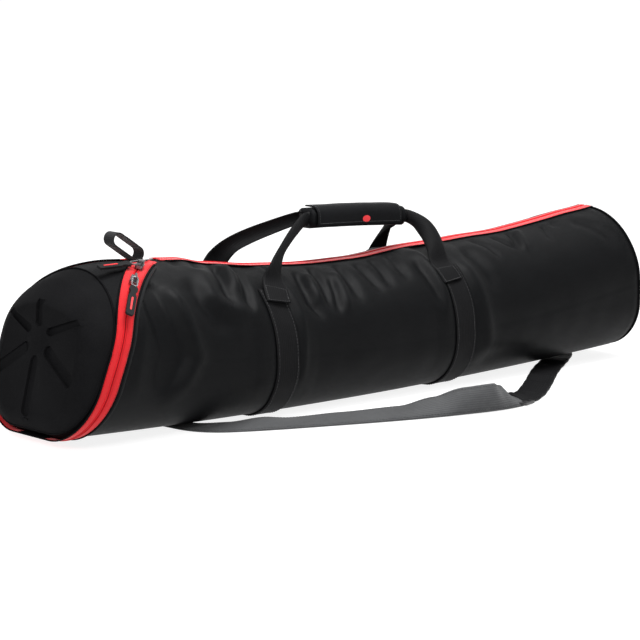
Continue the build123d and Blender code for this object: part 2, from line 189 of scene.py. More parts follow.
# Where the soft top line sits above or below the plain curve
top_line = [(-230, 0), (-190, 0.8), (-155, 2.5), (-130, 5.5), (-100, 6.5), (-57, 2), (29, -1.5), (118, -3),
            (200, -2), (307, 4), (407, 2.5), (510, -2), (617, -2.5), (698, -6)]


def settle(p):
    """Moves a point of the bag's soft upper half with the top line."""
    share = smooth((p.z - 95) / 95)
    return Vector((p.x, p.y, p.z + share * between(p.x, top_line)))


# Folds: the line (x, distance down from the top), half width, and depth; negative is a ridge.
near_folds = [
    ([(-196, 62), (-202, 84), (-198, 123), (-188, 168), (-206, 205), (-222, 236)], 13, 7.0),
    ([(-176, 74), (-168, 100), (-160, 140), (-153, 170), (-176, 206), (-206, 236)], 9, -4.6),
    ([(-226, 80), (-232, 130), (-244, 180), (-256, 232)], 8, -2.2),
    ([(-50, 14), (-62, 46), (-74, 80), (-76, 112)], 5.5, 4.2),
    ([(-34, 16), (-46, 50), (-58, 84)], 6, -2.4),
    ([(-17, 10), (-28, 46), (-46, 98), (-50, 120)], 5, 3.6),
    ([(-92, 34), (-100, 64), (-108, 100)], 8, -2.2),
    ([(-110, 8), (-126, 32)], 4, 1.8),
    ([(-80, 6), (-90, 28), (-100, 50)], 4.5, 2.2),
    ([(-132, 60), (-126, 100), (-108, 128), (-72, 132)], 11, 3.4),
    ([(-122, 88), (-92, 106), (-60, 112), (-24, 108)], 9, -2.6),
    ([(34, 10), (31, 50)], 4, 1.8),
    ([(30, 60), (34, 110), (28, 165), (26, 215)], 5, -2.0),
    ([(78, 34), (66, 70), (62, 100), (74, 132)], 6, 4.6),
    ([(92, 40), (80, 74), (76, 104)], 6, -2.8),
    ([(112, 22), (102, 70), (90, 120)], 5, 3.4),
    ([(124, 56), (112, 92), (101, 124)], 4, 2.6),
    ([(140, 40), (128, 84), (120, 128)], 6, -2.4),
    ([(160, 22), (152, 66), (148, 112)], 6, 3.0),
    ([(192, 26), (190, 62), (196, 98)], 6, 2.6),
    ([(226, 20), (220, 58), (214, 92)], 5, 2.4),
    ([(262, 16), (254, 50), (250, 86)], 6, 2.8),
    ([(286, 50), (288, 90), (294, 136)], 6, 2.6),
    ([(300, 20), (302, 60), (300, 110), (296, 160)], 7, -2.6),
    ([(360, 60), (366, 110), (372, 160), (384, 220)], 9, -2.8),
    ([(384, 40), (398, 84), (404, 130)], 10, 2.4),
    ([(420, 18), (434, 50), (440, 82)], 5, 1.8),
    ([(504, 18), (496, 44), (486, 66)], 4, 2.2),
    ([(524, 14), (510, 46), (494, 76)], 4.5, -1.8),
    ([(462, 22), (474, 50), (490, 70)], 4, 1.6),
    ([(572, 26), (562, 46), (554, 66)], 4, 1.8),
    ([(598, 20), (584, 40)], 4, 1.4),
    ([(620, 30), (648, 62), (672, 110)], 9, 2.0),
    ([(360, 236), (420, 226), (480, 236)], 12, 2.6),
    ([(-120, 250), (-40, 238), (60, 246)], 14, 2.2),
]
far_folds = [
    ([(-190, 60), (-204, 100), (-196, 150), (-212, 210)], 12, 6.0),
    ([(-170, 70), (-162, 120), (-158, 170), (-184, 214)], 9, -3.8),
    ([(-60, 16), (-74, 60), (-70, 108)], 5.5, 3.8),
    ([(-30, 14), (-44, 60), (-40, 104)], 5, 3.2),
    ([(-96, 22), (-112, 60), (-104, 96)], 7, -2.4),
    ([(-120, 90), (-86, 112), (-40, 106)], 10, 3.0),
    ([(52, 26), (60, 70), (52, 124)], 6, 4.0),
    ([(96, 22), (88, 66), (98, 116)], 5, 3.2),
    ([(128, 50), (122, 96), (134, 140)], 6, -2.4),
    ([(170, 24), (164, 70), (172, 110)], 6, 2.8),
    ([(214, 20), (222, 60), (216, 96)], 5, 2.4),
    ([(258, 24), (250, 62), (262, 104)], 6, 2.8),
    ([(296, 30), (300, 84), (292, 140)], 7, -2.6),
    ([(372, 50), (384, 104), (380, 160)], 9, 2.6),
    ([(430, 20), (446, 60), (438, 92)], 5, 1.8),
    ([(512, 18), (500, 52), (508, 80)], 4.5, 2.0),
    ([(580, 22), (566, 50), (572, 76)], 4, 1.8),
    ([(640, 34), (656, 78), (648, 120)], 9, 2.0),
    ([(20, 236), (120, 246), (240, 238)], 14, 2.4),
]


def prepare(folds):
    """Each fold as arrays of its segments, for quick distances."""
    ready = []
    for line, width, depth in folds:
        p = np.array(line, float)
        ready.append((p[:-1], p[1:] - p[:-1], np.arange(len(p) - 1), len(p) - 1, width, depth))
    return ready


near_ready = prepare(near_folds)
far_ready = prepare(far_folds)


def fold_height(x, s, ready):
    """How far the folds move the fabric outwards at X and s millimetres down from the top."""
    total = 0.0
    here = np.array((x, s))
    for start, run, index, count, width, depth in ready:
        if abs(x - start[0][0]) > 160:
            continue
        t = np.clip(((here - start) * run).sum(1) / (run * run).sum(1), 0, 1)
        gap = np.hypot(*(here - start - run * t[:, None]).T)
        k = int(gap.argmin())
        if gap[k] > 3.2 * width:
            continue
        along = (index[k] + t[k]) / count
        ends = smooth(along / 0.25 + 0.15) * smooth((1 - along) / 0.35 + 0.1)
        total -= fold_strength * depth * ends * float(np.exp(-0.5 * (gap[k] / width) ** 2))
    return total


quarter_girth = 172.8
half_girth = 345.0
fold_strength = 1.7
deepest_fold = -6.2
highest_fold = 7.0


def arc_down(angle):
    """Distance down from the top for an angle round the bag, to a few millimetres."""
    down, _ = down_and_side(angle)
    if down <= 90:
        return down / 90 * quarter_girth
    return quarter_girth + (down - 90) / 90 * (half_girth - quarter_girth)


def soften(x, angle):
    """The fabric's own relief, outwards, in millimetres."""
    s = arc_down(angle)
    h = fold_height(x, s, near_ready if angle <= 180 else far_ready)
    _, side = down_and_side(angle)
    where = Vector((x * 0.011, s * 0.013 * side, 3.1 * side))
    h += 1.5 * noise.noise(where) + 0.7 * noise.noise(where * 2.7)
    # seams hold the fabric down; between them the padding stands a little proud
    near_ring = smooth((x - ring_x(angle)) / 34)
    near_end = smooth((far_end_x - x) / 26)
    flat_foot = smooth((250 - s) / 50)
    zip_side = smooth((s - 6) / 24)
    h *= near_ring * near_end * zip_side * (0.1 + 0.9 * flat_foot)
    h -= 2.4 * (1 - smooth((far_end_x - x) / 16)) ** 1.5
    for band_x in (front_band_x, rear_band_x):
        pinch = abs(x - band_x) / 26
        h -= 1.5 * max(0.0, 1 - pinch**2) * flat_foot
        h += 1.3 * max(0.0, 1 - ((abs(x - band_x) - 36) / 18) ** 2) * flat_foot
    return max(deepest_fold, min(highest_fold, h))


def skin_point(x, angle, out=0.0):
    point, normal = bag_point(x, angle)
    p = settle(point + normal * (soften(x, angle) + out))
    p.z = max(p.z, 0.25)
    return p, normal


# ---- mesh helpers

def finish_mesh(name, verts, faces, material, uvs=None, smooth_shading=True):
    mesh = bpy.data.meshes.new(name)
    mesh.from_pydata([tuple(v * MM) for v in verts], [], faces)
    if uvs is not None:
        layer = mesh.uv_layers.new(name="metres")
        for loop in mesh.loops:
            u, v = uvs[loop.vertex_index]
            layer.data[loop.index].uv = (u * MM, v * MM)
    bm = bmesh.new()
    bm.from_mesh(mesh)
    bmesh.ops.recalc_face_normals(bm, faces=bm.faces)
    bm.to_mesh(mesh)
    bm.free()
    mesh.polygons.foreach_set("use_smooth", [smooth_shading] * len(mesh.polygons))
    mesh.materials.append(material)
    return add_object(name, mesh)


def grid(name, rows, material, uvs=None):
    """A sheet of quads from rows of points."""
    cols = len(rows[0])
    verts = [p for row in rows for p in row]
    faces = [(i * cols + j, i * cols + j + 1, (i + 1) * cols + j + 1, (i + 1) * cols + j)
             for i in range(len(rows) - 1) for j in range(cols - 1)]
    flat_uvs = None
    if uvs is not None:
        flat_uvs = [uv for row in uvs for uv in row]
    return finish_mesh(name, verts, faces, material, flat_uvs)


def surface(name, row_count, column_count, point_at, material):
    """A sheet whose point and uv at each row and column come from point_at."""
    table = [[point_at(i, j) for j in range(column_count + 1)] for i in range(row_count + 1)]
    points = [[p for p, _ in row] for row in table]
    return grid(name, points, material, [[uv for _, uv in row] for row in table])


def thicken(sheet, thickness):
    modifier = sheet.modifiers.new("thickness", "SOLIDIFY")
    modifier.thickness = thickness
    modifier.offset = 1


def sweep(name, frames, profiles, material, closed=False):
    """A closed tube: at each frame (origin, side, up) the outline's points (a, b) are joined to the next."""
    n = len(profiles[0])
    verts = []
    uvs = []
    run = 0.0
    for i, ((origin, side, up), profile) in enumerate(zip(frames, profiles)):
        if i:
            run += (origin - frames[i - 1][0]).length
        round_it = 0.0
        for k, (a, b) in enumerate(profile):
            if k:
                round_it += hypot(a - profile[k - 1][0], b - profile[k - 1][1])
            verts.append(origin + side * a + up * b)
            uvs.append((round_it, run))
    count = len(frames)
    spans = count if closed else count - 1
    faces = []
    for i in range(spans):
        j = (i + 1) % count
        for k in range(n):
            m = (k + 1) % n
            faces.append((i * n + k, i * n + m, j * n + m, j * n + k))
    if not closed:
        faces.append(tuple(range(n)))
        faces.append(tuple(reversed(range((count - 1) * n, count * n))))
    return finish_mesh(name, verts, faces, material, uvs)


def strip_profile(width, thickness, bow=0.0, steps=8):
    """Section of a flat strip with soft edges, bowed outwards by bow in its middle."""
    top = []
    bottom = []
    for i in range(steps + 1):
        a = -width / 2 + width * i / steps
        rise = bow * (1 - (2 * a / width) ** 2)
        edge = 0.55 if i in (0, steps) else 1.0
        top.append((a, rise + edge * thickness / 2))
        bottom.append((a, rise - edge * thickness / 2))
    return top + bottom[::-1]


def round_profile(width, height, corner, steps=6):
    points = []
    for cx, cy, start in ((1, 1, 0), (-1, 1, 90), (-1, -1, 180), (1, -1, 270)):
        for i in range(steps + 1):
            t = radians(start + 90 * i / steps)
            points.append((cx * (width / 2 - corner) + corner * cos(t),
                           cy * (height / 2 - corner) + corner * sin(t)))
    return points


def line_frames(points, across):
    """Frames along a line; across says roughly which way the strip's width points."""
    frames = []
    last = len(points) - 1
    for i, p in enumerate(points):
        along = (points[min(i + 1, last)] - points[max(i - 1, 0)]).normalized()
        side = (across[i] - along * across[i].dot(along)).normalized()
        frames.append((p, side, along.cross(side)))
    return frames


def catmull(values, steps):
    """A smooth run through a list of vectors or numbers."""
    result = []
    last = len(values) - 1
    for i in range(last):
        a, b, c, d = values[max(i - 1, 0)], values[i], values[i + 1], values[min(i + 2, last)]
        for k in range(steps):
            t = k / steps
            result.append(0.5 * ((b * 2) + (c - a) * t + (a * 2 - b * 5 + c * 4 - d) * t * t
                                 + (b * 3 - a - c * 3 + d) * t * t * t))
    result.append(values[last] * 1)
    return result


def thread(name, lines, material, pitch, length, radius):
    """A row of stitches along each line of (point, normal) pairs."""
    verts = []
    faces = []
    for line in lines:
        travelled = 0.0
        next_at = pitch / 2
        for (p, n), (q, m) in zip(line, line[1:]):
            step = (q - p).length
            while step > 0 and next_at <= travelled + step:
                t = (next_at - travelled) / step
                middle = p.lerp(q, t)
                normal = n.lerp(m, t).normalized()
                along = (q - p).normalized()
                side = normal.cross(along)
                base = len(verts)
                for share, scale, dip in ((-0.5, 0.35, -0.5), (-0.36, 1, 0), (0.36, 1, 0), (0.5, 0.35, -0.5)):
                    centre = middle + along * (share * length) + normal * (radius * (dip + 0.6) - stitch_sink)
                    for k in range(5):
                        turn = 2 * pi * k / 5
                        verts.append(centre + (side * cos(turn) + normal * sin(turn)) * radius * scale)
                for ring in range(3):
                    for k in range(5):
                        m2 = (k + 1) % 5
                        faces.append((base + ring * 5 + k, base + ring * 5 + m2,
                                      base + ring * 5 + 5 + m2, base + ring * 5 + 5 + k))
                next_at += pitch
            travelled += step
    return finish_mesh(name, verts, faces, material)


# ---- materials

def new_material(name, colour, roughness, metallic=0.0, sheen=0.0, specular=0.5):
    material = bpy.data.materials.new(name)
    material.use_nodes = True
    shader = material.node_tree.nodes["Principled BSDF"]
    values = {"Base Color": (*colour, 1), "Roughness": roughness, "Metallic": metallic,
              "Specular IOR Level": specular, "Sheen Weight": sheen, "Sheen Roughness": 0.5}
    for key, value in values.items():
        shader.inputs[key].default_value = value
    material.diffuse_color = (*colour, 1)
    return material, material.node_tree, shader


def new_node(tree, kind, values, **settings):
    """A shader node; each input takes a number or another node's output."""
    node = tree.nodes.new("ShaderNode" + kind)
    for key, value in settings.items():
        setattr(node, key, value)
    for key, value in values.items():
        if isinstance(value, bpy.types.NodeSocket):
            tree.links.new(value, node.inputs[key])
        else:
            node.inputs[key].default_value = value
    return node


def coordinates(tree, uv):
    return new_node(tree, "TexCoord", {}).outputs["UV" if uv else "Object"]


def noise_node(tree, vector, scale, detail=3.0, roughness=0.55):
    values = {"Vector": vector, "Scale": scale, "Detail": detail, "Roughness": roughness}
    return new_node(tree, "TexNoise", values).outputs["Fac"]


def wave_node(tree, vector, pitch, direction):
    values = {"Vector": vector, "Scale": 0.314 / pitch, "Distortion": 0.0}
    return new_node(tree, "TexWave", values, bands_direction=direction).outputs["Fac"]


def ramp(tree, factor, stops):
    """A ramp between two colours, each at its position."""
    node = new_node(tree, "ValToRGB", {"Fac": factor})
    for element, (position, colour) in zip(node.color_ramp.elements, stops):
        element.position = position
        element.color = (*colour, 1)
    return node.outputs["Color"]


def maths(tree, operation, a, b):
    return new_node(tree, "Math", {0: a, 1: b}, operation=operation).outputs[0]


def mix(tree, a, b, blend):
    """Two colours in full; a colour mix node has its factor at input 0 and its colours at 6 and 7."""
    return new_node(tree, "Mix", {0: 1.0, 6: a, 7: b}, data_type="RGBA", blend_type=blend).outputs[2]


def bump(tree, shader, height, distance, strength):
    node = new_node(tree, "Bump", {"Strength": strength, "Distance": distance, "Height": height})
    tree.links.new(node.outputs["Normal"], shader.inputs["Normal"])


def vary_roughness(tree, shader, factor, low, high):
    node = new_node(tree, "MapRange", {"Value": factor, "To Min": low, "To Max": high})
    tree.links.new(node.outputs["Result"], shader.inputs["Roughness"])


def cloth(name, dark, light, pitch, depth, roughness, sheen=0.0, uv=True, specular=0.12):
    """Woven fabric with soft colour variation: one pitch for a plain weave, a pair for a ribbed one."""
    material, tree, shader = new_material(name, light, roughness, 0.0, sheen, specular)
    vector = coordinates(tree, uv)
    ribbed = isinstance(pitch, tuple)
    warp_pitch, weft_pitch = pitch if ribbed else (pitch, pitch)
    warp = wave_node(tree, vector, warp_pitch, "Y" if ribbed and uv else "X")
    weft = wave_node(tree, vector, weft_pitch, "X" if ribbed and uv else "Y")
    weave = maths(tree, "MULTIPLY", warp, weft)
    grain = noise_node(tree, vector, 900.0, 2.0)
    height = maths(tree, "ADD", weave, maths(tree, "MULTIPLY", grain, 0.6))
    bump(tree, shader, height, depth, 0.9)
    large = noise_node(tree, vector, 9.0, 4.0)
    middle = noise_node(tree, vector, 126.0, 3.0)
    blend = maths(tree, "ADD", maths(tree, "MULTIPLY", large, 0.65), maths(tree, "MULTIPLY", middle, 0.35))
    base = ramp(tree, blend, [(0.3, dark), (0.72, light)])
    shade = ramp(tree, weave, [(0.0, (0.72, 0.72, 0.72)), (0.7, (1.0, 1.0, 1.0))])
    tree.links.new(mix(tree, base, shade, "MULTIPLY"), shader.inputs["Base Color"])
    vary_roughness(tree, shader, middle, roughness - 0.07, min(1.0, roughness + 0.09))
    return material


def moulded(name, dark, light, roughness, grain_scale, grain_depth, metallic=0.0, wear=0.0, specular=0.5):
    """Plastic, rubber or metal: fine grain, slight colour variation, and optional wear at sharp edges."""
    material, tree, shader = new_material(name, light, roughness, metallic, 0.0, specular)
    vector = coordinates(tree, False)
    grain = noise_node(tree, vector, grain_scale, 3.0)
    bump(tree, shader, grain, grain_depth, 0.8)
    large = noise_node(tree, vector, 30.0, 4.0)
    base = ramp(tree, large, [(0.3, dark), (0.7, light)])
    if wear:
        geometry = tree.nodes.new("ShaderNodeNewGeometry")
        edge = ramp(tree, geometry.outputs["Pointiness"], [(0.5, (0, 0, 0)), (0.58, (wear, wear, wear))])
        base = mix(tree, base, edge, "ADD")
    tree.links.new(base, shader.inputs["Base Color"])
    fine_noise = noise_node(tree, vector, 120.0)
    vary_roughness(tree, shader, fine_noise, max(0.05, roughness - 0.08), min(1.0, roughness + 0.1))
    return material


body_nylon = cloth("body_nylon", (0.0019, 0.0021, 0.0025), (0.0042, 0.0044, 0.0050), 0.0011, 0.00011, 0.5,
                   specular=0.075)
panel_nylon = cloth("panel_nylon", (0.0024, 0.0026, 0.0030), (0.0050, 0.0052, 0.0058), 0.0011, 0.00011,
                    0.54, uv=False, specular=0.08)
gusset_nylon = cloth("gusset_nylon", (0.0031, 0.0032, 0.0038), (0.0058, 0.0059, 0.0067), 0.0011, 0.00011,
                     0.62, specular=0.05)
webbing = cloth("webbing_black", (0.0038, 0.0038, 0.0043), (0.0076, 0.0076, 0.0083), (0.0017, 0.0032),
                0.0003, 0.60, specular=0.07)
strap_web = cloth("strap_web_grey", (0.040, 0.041, 0.043), (0.070, 0.072, 0.075), (0.0016, 0.0030), 0.0003,
                  0.55, 0.12)
zip_red = cloth("zip_tape_red", (0.50, 0.0045, 0.0085), (0.70, 0.010, 0.016), (0.0009, 0.0016), 0.00012,
                0.65, 0.12, specular=0.15)
# the long zip's tape is a lighter copy of the ring's red tape: its lighter red is painted light from above on
# the top of the bag
long_zip_red_painted_light = cloth("long_zip_tape_red_painted_light", (0.58, 0.014, 0.018), (0.78, 0.032, 0.038), (0.0009, 0.0016),
                     0.00012, 0.65, 0.32, specular=0.2)
coil_red = cloth("zip_coil_red", (0.40, 0.004, 0.008), (0.60, 0.008, 0.013), (0.0012, 0.0022), 0.0001, 0.5)
binding_black = cloth("binding_black", (0.0020, 0.0020, 0.0024), (0.0045, 0.0045, 0.0052), (0.0011, 0.0018),
                      0.00016, 0.7, specular=0.04)
# the hem's grey, lighter than the black binding beside it, is a painted highlight along the rim that catches
# the light
hem_painted_highlight = cloth("hem_painted_highlight", (0.0050, 0.0053, 0.0060), (0.0095, 0.0100, 0.0110), (0.0011, 0.0018), 0.00016,
                 0.66, 0.03, specular=0.08)
grip_cloth = cloth("grip_cloth", (0.0042, 0.0044, 0.0050), (0.0077, 0.0079, 0.0088), 0.0010, 0.00014, 0.55,
                   specular=0.05)
lining_nylon = cloth("lining_nylon", (0.10, 0.105, 0.115), (0.15, 0.155, 0.165), 0.0009, 0.0001, 0.5, 0.3,
                     uv=False)
label_web = cloth("label_web", (0.0053, 0.0053, 0.0060), (0.0082, 0.0082, 0.0091), 0.0008, 0.0001, 0.7, 0.1,
                  uv=False)
thread_dark = cloth("thread_dark", (0.0120, 0.0120, 0.0136), (0.0240, 0.0240, 0.0264), 0.0006, 0.0001, 0.55,
                    0.3, uv=False)
thread_red = cloth("thread_red", (0.34, 0.004, 0.007), (0.55, 0.008, 0.012), 0.0006, 0.0001, 0.6, uv=False)
foam_grey = moulded("foam_grey", (0.05, 0.05, 0.055), (0.08, 0.08, 0.085), 0.95, 700.0, 0.0006)
gunmetal = moulded("gunmetal", (0.07, 0.07, 0.075), (0.15, 0.15, 0.155), 0.28, 400.0, 0.00003, metallic=1.0,
                   wear=0.12)
rubber = moulded("puller_rubber", (0.0030, 0.0030, 0.0036), (0.0060, 0.0060, 0.0066), 0.6, 900.0, 0.00006,
                 wear=0.004, specular=0.1)
red_trim = moulded("red_trim", (0.50, 0.005, 0.010), (0.66, 0.010, 0.016), 0.45, 500.0, 0.00003)
plastic = moulded("black_plastic", (0.0050, 0.0050, 0.0055), (0.0092, 0.0092, 0.0101), 0.38, 800.0, 0.00004,
                  wear=0.02)
anchor_web = cloth("anchor_web", (0.0030, 0.0030, 0.0035), (0.0066, 0.0066, 0.0073), (0.0017, 0.0030),
                   0.0003, 0.7, 0.2, uv=False)


def cap_material(name, dark, light):
    """Fuzzy moulded EVA."""
    material, tree, shader = new_material(name, light, 0.85, specular=0.045)
    vector = coordinates(tree, False)
    fuzz = noise_node(tree, vector, 1400.0, 4.0, 0.7)
    pores = noise_node(tree, vector, 420.0, 2.0)
    bump(tree, shader, maths(tree, "ADD", fuzz, maths(tree, "MULTIPLY", pores, 0.6)), 0.00022, 0.9)
    cloudy = noise_node(tree, vector, 16.0, 5.0)
    fine = noise_node(tree, vector, 500.0, 3.0)
    shade = maths(tree, "ADD", maths(tree, "MULTIPLY", cloudy, 0.55), maths(tree, "MULTIPLY", fine, 0.45))
    base = ramp(tree, shade, [(0.28, dark), (0.75, light)])
    tree.links.new(base, shader.inputs["Base Color"])
    return material


eva = cap_material("moulded_eva", (0.0026, 0.0026, 0.0030), (0.0066, 0.0066, 0.0072))
# the second cap material, much darker than the moulded EVA, is painted shade for the floors of the grooves
groove_painted_shade = cap_material("moulded_eva_painted_groove_shade", (0.0008, 0.0008, 0.0010), (0.0022, 0.0022, 0.0026))


# ---- the strap, a free flat cord

strap_width = 38.0
strap_thickness = 2.2
strap_z = 1.5
strap_route = [(-128, 40), (-127, -20), (-122, -84), (-66, -118), (10, -150), (98, -186), (190, -218),
               (270, -238), (340, -220), (420, -164), (512, -92), (596, -38), (646, -2), (648, 40)]
front_riser = [(40.3, 1.5), (58, 5.1), (76, 12.5), (90, 23), (100, 35), (107, 49)]
rear_riser = [(40.3, 1.5), (58, 8.6), (76, 19.5), (90, 30), (100, 42), (107, 56)]
route = [Vector((-128, y, z)) for y, z in reversed(front_riser)]
route += [Vector((x, y, strap_z)) for x, y in strap_route[1:-1]]
route += [Vector((648, y, z)) for y, z in rear_riser]
spline_data = bpy.data.curves.new("strap_route", "CURVE")
spline_data.dimensions = "3D"
spline_data.resolution_u = 16
spline = spline_data.splines.new("NURBS")
spline.points.add(len(route) - 1)
for control, point in zip(spline.points, route):
    control.co = (*(point * MM), 1)
spline.order_u = 3
spline.use_endpoint_u = True
spline_object = add_object("strap_route", spline_data)
bpy.context.view_layer.update()
line_mesh = bpy.data.meshes.new_from_object(spline_object)
strap_line = [v.co / MM for v in line_mesh.vertices]
bpy.data.meshes.remove(line_mesh)
bpy.data.objects.remove(spline_object)

strap_run = [0.0]
for p, q in zip(strap_line, strap_line[1:]):
    strap_run.append(strap_run[-1] + (q - p).length)
strap_total = strap_run[-1]

# How the strap lies: roll lifts its back edge, bow curls it, along its length as a share
strap_roll = [(0.0, 0), (0.12, 0), (0.2, 8), (0.24, 15), (0.27, 10), (0.33, 14), (0.40, 18), (0.44, 34),
              (0.475, 62), (0.505, 72), (0.525, 50), (0.55, 14), (0.6, 4), (0.88, 0), (1.0, 0)]
strap_bow = [(0.0, 0), (0.15, 0), (0.27, 2.0), (0.34, 1.5), (0.42, 3.0), (0.49, 5.0), (0.54, 3.0), (0.6, 1.0),
             (0.8, 0.5), (1.0, 0)]


strap_shares = [run / strap_total for run in strap_run]
strap_bows = [between(share, strap_bow) for share in strap_shares]


def strap_frame(i):
    """Frame of the strap at a point of its line, standing on its front edge where it rolls."""
    last = len(strap_line) - 1
    p = strap_line[i]
    along = (strap_line[min(i + 1, last)] - strap_line[max(i - 1, 0)]).normalized()
    share = strap_shares[i]
    roll = radians(between(share, strap_roll))
    flat_side = Vector((-along.y, along.x, 0))
    if flat_side.length < 0.2:
        flat_side = Vector((1, 0, 0))
    if share < 0.11 or share > 0.9:
        flat_side = Vector((1, 0, 0)) - along * along.x
        flat_side = flat_side if share < 0.5 else -flat_side
    flat_side.normalize()
    flat_up = along.cross(-flat_side) if along.cross(-flat_side).z > 0 else along.cross(flat_side)
    side = flat_side * cos(roll) + flat_up * sin(roll)
    up = flat_up * cos(roll) - flat_side * sin(roll)
    centre = p + side * (strap_width / 2) - flat_side * (strap_width / 2) if roll > 0.001 else p.copy()
    return centre, side, up


def keep_off_ground(piece):
    for v in piece.data.vertices:
        v.co.z = max(v.co.z, 0.0002)


strap_frames = [strap_frame(i) for i in range(len(strap_line))]
strap_profiles = [strip_profile(strap_width - 0.6, strap_thickness, bow, 12) for bow in strap_bows]
strap = sweep("shoulder_strap_web", strap_frames, strap_profiles, strap_web)
keep_off_ground(strap)
place(strap, "bag", "strap_webbing", "shoulder_strap", "strap_end_front", "strap_end_rear")

# the strap's own end, doubled back through the adjuster
doubled = [i for i, share in enumerate(strap_shares) if 0.55 < share < 0.84]
doubled_frames = []
doubled_profiles = []
for i in doubled:
    centre, side, up = strap_frames[i]
    doubled_frames.append((centre + up * (0.9 + 0.5 * sin(i * 0.9)), side, up))
    doubled_profiles.append(strip_profile(strap_width + 1.0, 4.4, strap_bows[i] + 0.8 * sin(i * 0.6), 12))
strap_tail = sweep("strap_doubled_end", doubled_frames, doubled_profiles, webbing)
keep_off_ground(strap_tail)
place(strap_tail, "bag", "strap_webbing")

strap_edges = []
for offset in (-stitch_inset, stitch_inset):
    edge_line = []
    for (centre, side, up), share, bow in zip(strap_frames, strap_shares, strap_bows):
        rise = bow * (1 - (2 * offset / strap_width) ** 2)
        if 0.06 < share < 0.94:
            edge_line.append((centre + side * offset + up * (rise + strap_thickness / 2), up))
    strap_edges.append(edge_line)
strap_stitches = thread("strap_stitches", strap_edges, thread_dark, 4.4, 3.0, 0.34)
place(strap_stitches, "bag", "strap_webbing")

# ---- the bag's fabric

skin_step = 3.6
skin_columns = 208
skin_rows = int(1000 / skin_step)


def skin_at(i, j):
    angle = 360 * j / skin_columns
    start = ring_x(angle) + 0.4
    x = start + (far_end_x + 1.2 - start) * (i / skin_rows)
    return skin_point(x, angle)[0], (x, arc_down(angle) if angle <= 180 else 2 * half_girth - arc_down(angle))


skin = surface("bag_skin", skin_rows, skin_columns, skin_at, body_nylon)
place(skin, "bag", "body_fabric", "body_outer_fabric", fill=0.7)

# under it the foam and the lining, which follow the top line's sag
foam_face = 7.2


def inner_tube(name, node, slot, material, outer, inner, fill=None):
    """A closed layer of the tube's wall; each offset takes X, angle and distance from the mouth."""
    columns, steps = 96, 60
    rows = []
    for offset, order in ((outer, range(steps + 1)), (inner, range(steps, -1, -1))):
        for i in order:
            row = []
            for j in range(columns + 1):
                angle = 360 * j / columns
                start = ring_x(angle) + 0.6
                x = start + (far_end_x - 0.5 - start) * i / steps
                point, normal = bag_point(x, angle)
                row.append(settle(point + normal * offset(x, angle, x - start)))
            rows.append(row)
    rows.append([p.copy() for p in rows[0]])
    place(grid(name, rows, material), "bag", slot, node, fill=fill)


def foam_outer(x, angle, from_mouth):
    deep = smooth(from_mouth / 40) * smooth((far_end_x - x) / 30)
    return -foam_face * deep + max(soften(x, angle) - 2.4, -foam_face) * (1 - deep)


def lining_outer(x, angle, from_mouth):
    return -8.0


def lining_inner(x, angle, from_mouth):
    return -8.8


inner_tube("bag_foam", "body_foam_padding", "foam", foam_grey, foam_outer, lining_outer, 0.9)
inner_tube("bag_lining", "body_lining", "lining", lining_nylon, lining_outer, lining_inner)

end_middle_z = 118.0
end_shrink = 0.95


def settled_disc(name, node, slot, material, fill=None):
    """A layer of the far end, drawn in so that it stays under the sagging fabric."""
    mesh = nodes[node].data.copy()
    for v in mesh.vertices:
        p = v.co / MM
        p = Vector((p.x, p.y * end_shrink, end_middle_z + (p.z - end_middle_z) * end_shrink))
        v.co = settle(p) * MM
    mesh.materials.clear()
    mesh.materials.append(material)
    place(add_object(name, mesh), "bag", slot, node, fill=fill)


settled_disc("far_end_padding", "far_end_foam", "foam", foam_grey, 0.9)
settled_disc("far_end_inner_sheet", "far_end_lining", "lining", lining_nylon)

# the panel that closes the far end, crowned a little and rolled into the side
panel_rings = 14
panel_columns = 104
rim = [skin_point(far_end_x + 1.2, 360 * j / panel_columns)[0] for j in range(panel_columns)]
middle = sum(rim, Vector()) / len(rim)
verts = [p.copy() for p in rim]
for k in range(1, panel_rings):
    t = k / panel_rings
    for p in rim:
        q = p.lerp(middle, t)
        crown = 3.6 * smooth(t * 2.4) + 0.8 * noise.noise(Vector((3, q.y * 0.02, q.z * 0.02)))
        verts.append(Vector((p.x + crown, q.y, q.z)))
verts.append(middle + Vector((3.6, 0, 0)))
faces = []
for k in range(panel_rings - 1):
    for j in range(panel_columns):
        m = (j + 1) % panel_columns
        a, b = k * panel_columns, (k + 1) * panel_columns
        faces.append((a + j, a + m, b + m, b + j))
last_ring = (panel_rings - 1) * panel_columns
for j in range(panel_columns):
    faces.append((last_ring + j, last_ring + (j + 1) % panel_columns, len(verts) - 1))
panel = finish_mesh("far_end_fabric", verts, faces, panel_nylon)
place(panel, "bag", "body_fabric", "far_end_panel", fill=0.7)


def rim_frames(x, out, count):
    frames = []
    for j in range(count):
        p, n = skin_point(x, 360 * j / count, out)
        q, _ = skin_point(x, 360 * (j + 1) / count, out)
        along = (q - p).normalized()
        up = (n - along * n.dot(along)).normalized()
        frames.append((p, along.cross(up), up))
    return frames


welt_frames = rim_frames(far_end_x - 0.6, 0.9, 150)
welt_profiles = [round_profile(3.4, 2.4, 1.1, 4)] * len(welt_frames)
welt = sweep("far_end_welt", welt_frames, welt_profiles, binding_black, True)
place(welt, "bag", "black_binding", "far_end_binding")

# ---- zip tapes, coils and piping round the ring


def ring_frames(first, last, steps, centre, height):
    """Frames beside the zip ring: side points towards the far end, up away from the bag."""
    frames = []
    for i in range(steps + 1):
        angle = first + (last - first) * i / steps
        p, n = ring_point(angle)
        before, _ = ring_point(max(angle - 0.4, 0.01))
        after, _ = ring_point(min(angle + 0.4, 359.99))
        side = n.cross(after - before).normalized()
        if side.x < 0:
            side = -side
        q = settle(p + side * centre + n * height)
        q.z = max(q.z, 0.3)
        frames.append((q, side, n))
    return frames


